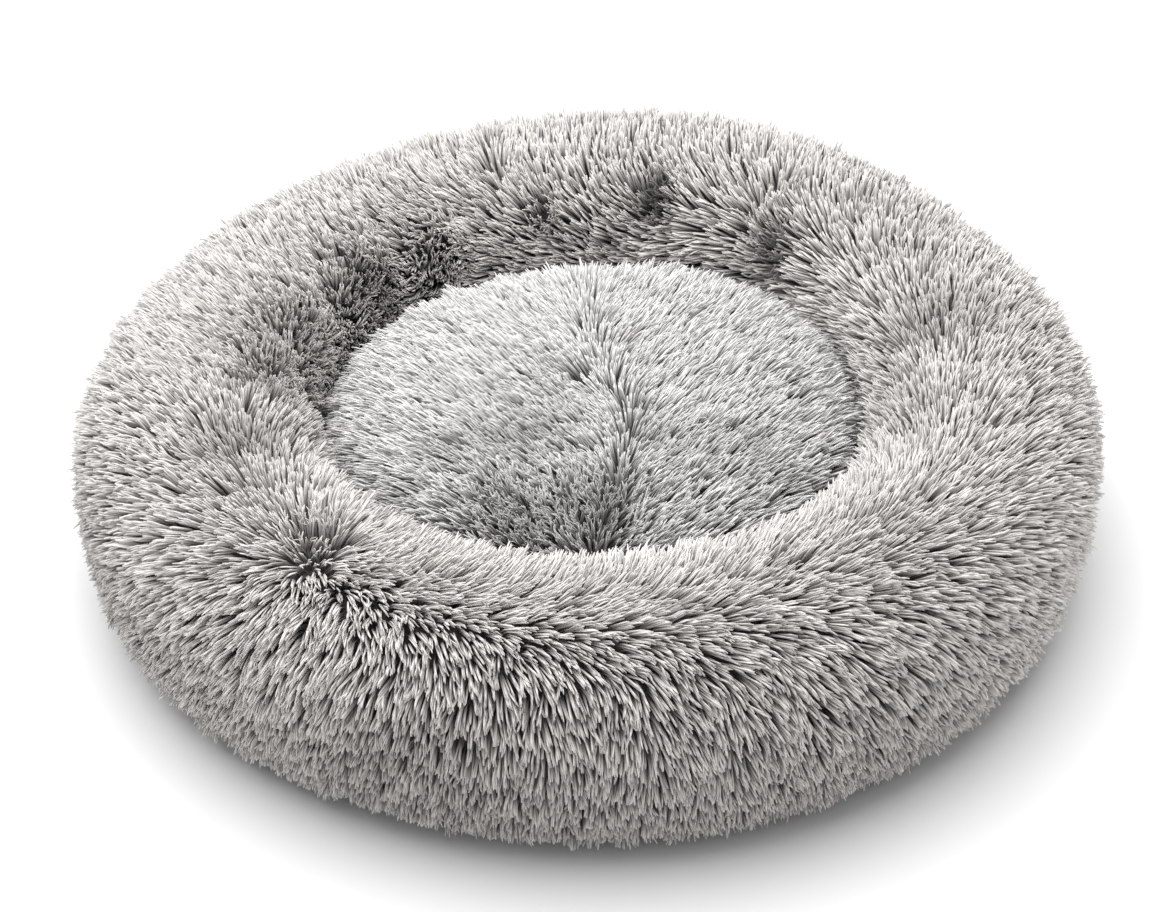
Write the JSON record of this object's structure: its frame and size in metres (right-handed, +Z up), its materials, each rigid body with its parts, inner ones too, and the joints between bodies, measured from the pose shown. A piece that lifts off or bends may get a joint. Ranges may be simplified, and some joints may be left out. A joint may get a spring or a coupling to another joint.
{
  "type": "pet cushion bed",
  "caption": "Round pet bed in long shaggy pile: a plump ring bolster on a thin anti-slip base, with a loose thick round cushion in its well and zips for washing.",
  "frame": {"origin": "middle of the bed on the surface that it stands on", "axes": "+Z up; the zips run round the back, which is +Y"},
  "size_m": [0.6, 0.6, 0.144],
  "materials": {
    "pile": "long frosted grey pile, pale tips and dark roots",
    "liner_cloth": "thin non-woven cloth",
    "fibre": "loose polyester fibre",
    "base_cloth": "coarse plain weave with small rubber dots",
    "zip_tape": "narrow woven tape",
    "zip_coil": "moulded nylon",
    "zip_metal": "plated, lightly worn",
    "label": "blank satin ribbon"
  },
  "bodies": {
    "bed": {"bolster_cover_right": "pile", "bolster_cover_rear": "pile", "bolster_cover_left": "pile", "bolster_cover_front": "pile", "bolster_liner": "liner_cloth", "bolster_fill": "fibre", "well_floor": "liner_cloth", "base_wadding": "fibre", "base_panel": "base_cloth", "side_gusset": "base_cloth", "care_label": "label", "ring_zip_lower_tape": "zip_tape", "ring_zip_upper_tape": "zip_tape", "ring_zip_lower_coil": "zip_coil", "ring_zip_upper_coil": "zip_coil", "ring_zip_bottom_stop": "zip_metal", "ring_zip_top_stop": "zip_metal"},
    "cushion": {"cushion_cover": "pile", "cushion_liner": "liner_cloth", "cushion_fill": "fibre", "cushion_base": "base_cloth", "cushion_gusset": "base_cloth", "cushion_zip_lower_tape": "zip_tape", "cushion_zip_upper_tape": "zip_tape", "cushion_zip_lower_coil": "zip_coil", "cushion_zip_upper_coil": "zip_coil", "cushion_zip_bottom_stop": "zip_metal", "cushion_zip_top_stop": "zip_metal"},
    "ring_slider": {"ring_zip_slider": "zip_metal"},
    "ring_pull": {"ring_zip_pull": "zip_metal"},
    "cushion_slider": {"cushion_zip_slider": "zip_metal"},
    "cushion_pull": {"cushion_zip_pull": "zip_metal"}
  },
  "joints": [
    {"name": "cushion_lift", "type": "slide", "parent": "bed", "child": "cushion", "axis": [0, 0, 1], "range_m": [0, 0.18]},
    {"name": "ring_zip_travel", "type": "hinge", "parent": "bed", "child": "ring_slider", "pos_m": [0, 0, 0.0086], "axis": [0, 0, 1], "range_deg": [-145, 0]},
    {"name": "ring_pull_swing", "type": "hinge", "parent": "ring_slider", "child": "ring_pull", "pos_m": [-0.25417, 0.08014, 0.0086], "axis": [0, 0, 1], "range_deg": [0, 180]},
    {"name": "cushion_zip_travel", "type": "hinge", "parent": "cushion", "child": "cushion_slider", "pos_m": [0, 0, 0.0137], "axis": [0, 0, 1], "range_deg": [-115, 0]},
    {"name": "cushion_pull_swing", "type": "hinge", "parent": "cushion_slider", "child": "cushion_pull", "pos_m": [-0.11259, 0.07173, 0.0137], "axis": [0, 0, 1], "range_deg": [0, 180]}
  ]
}
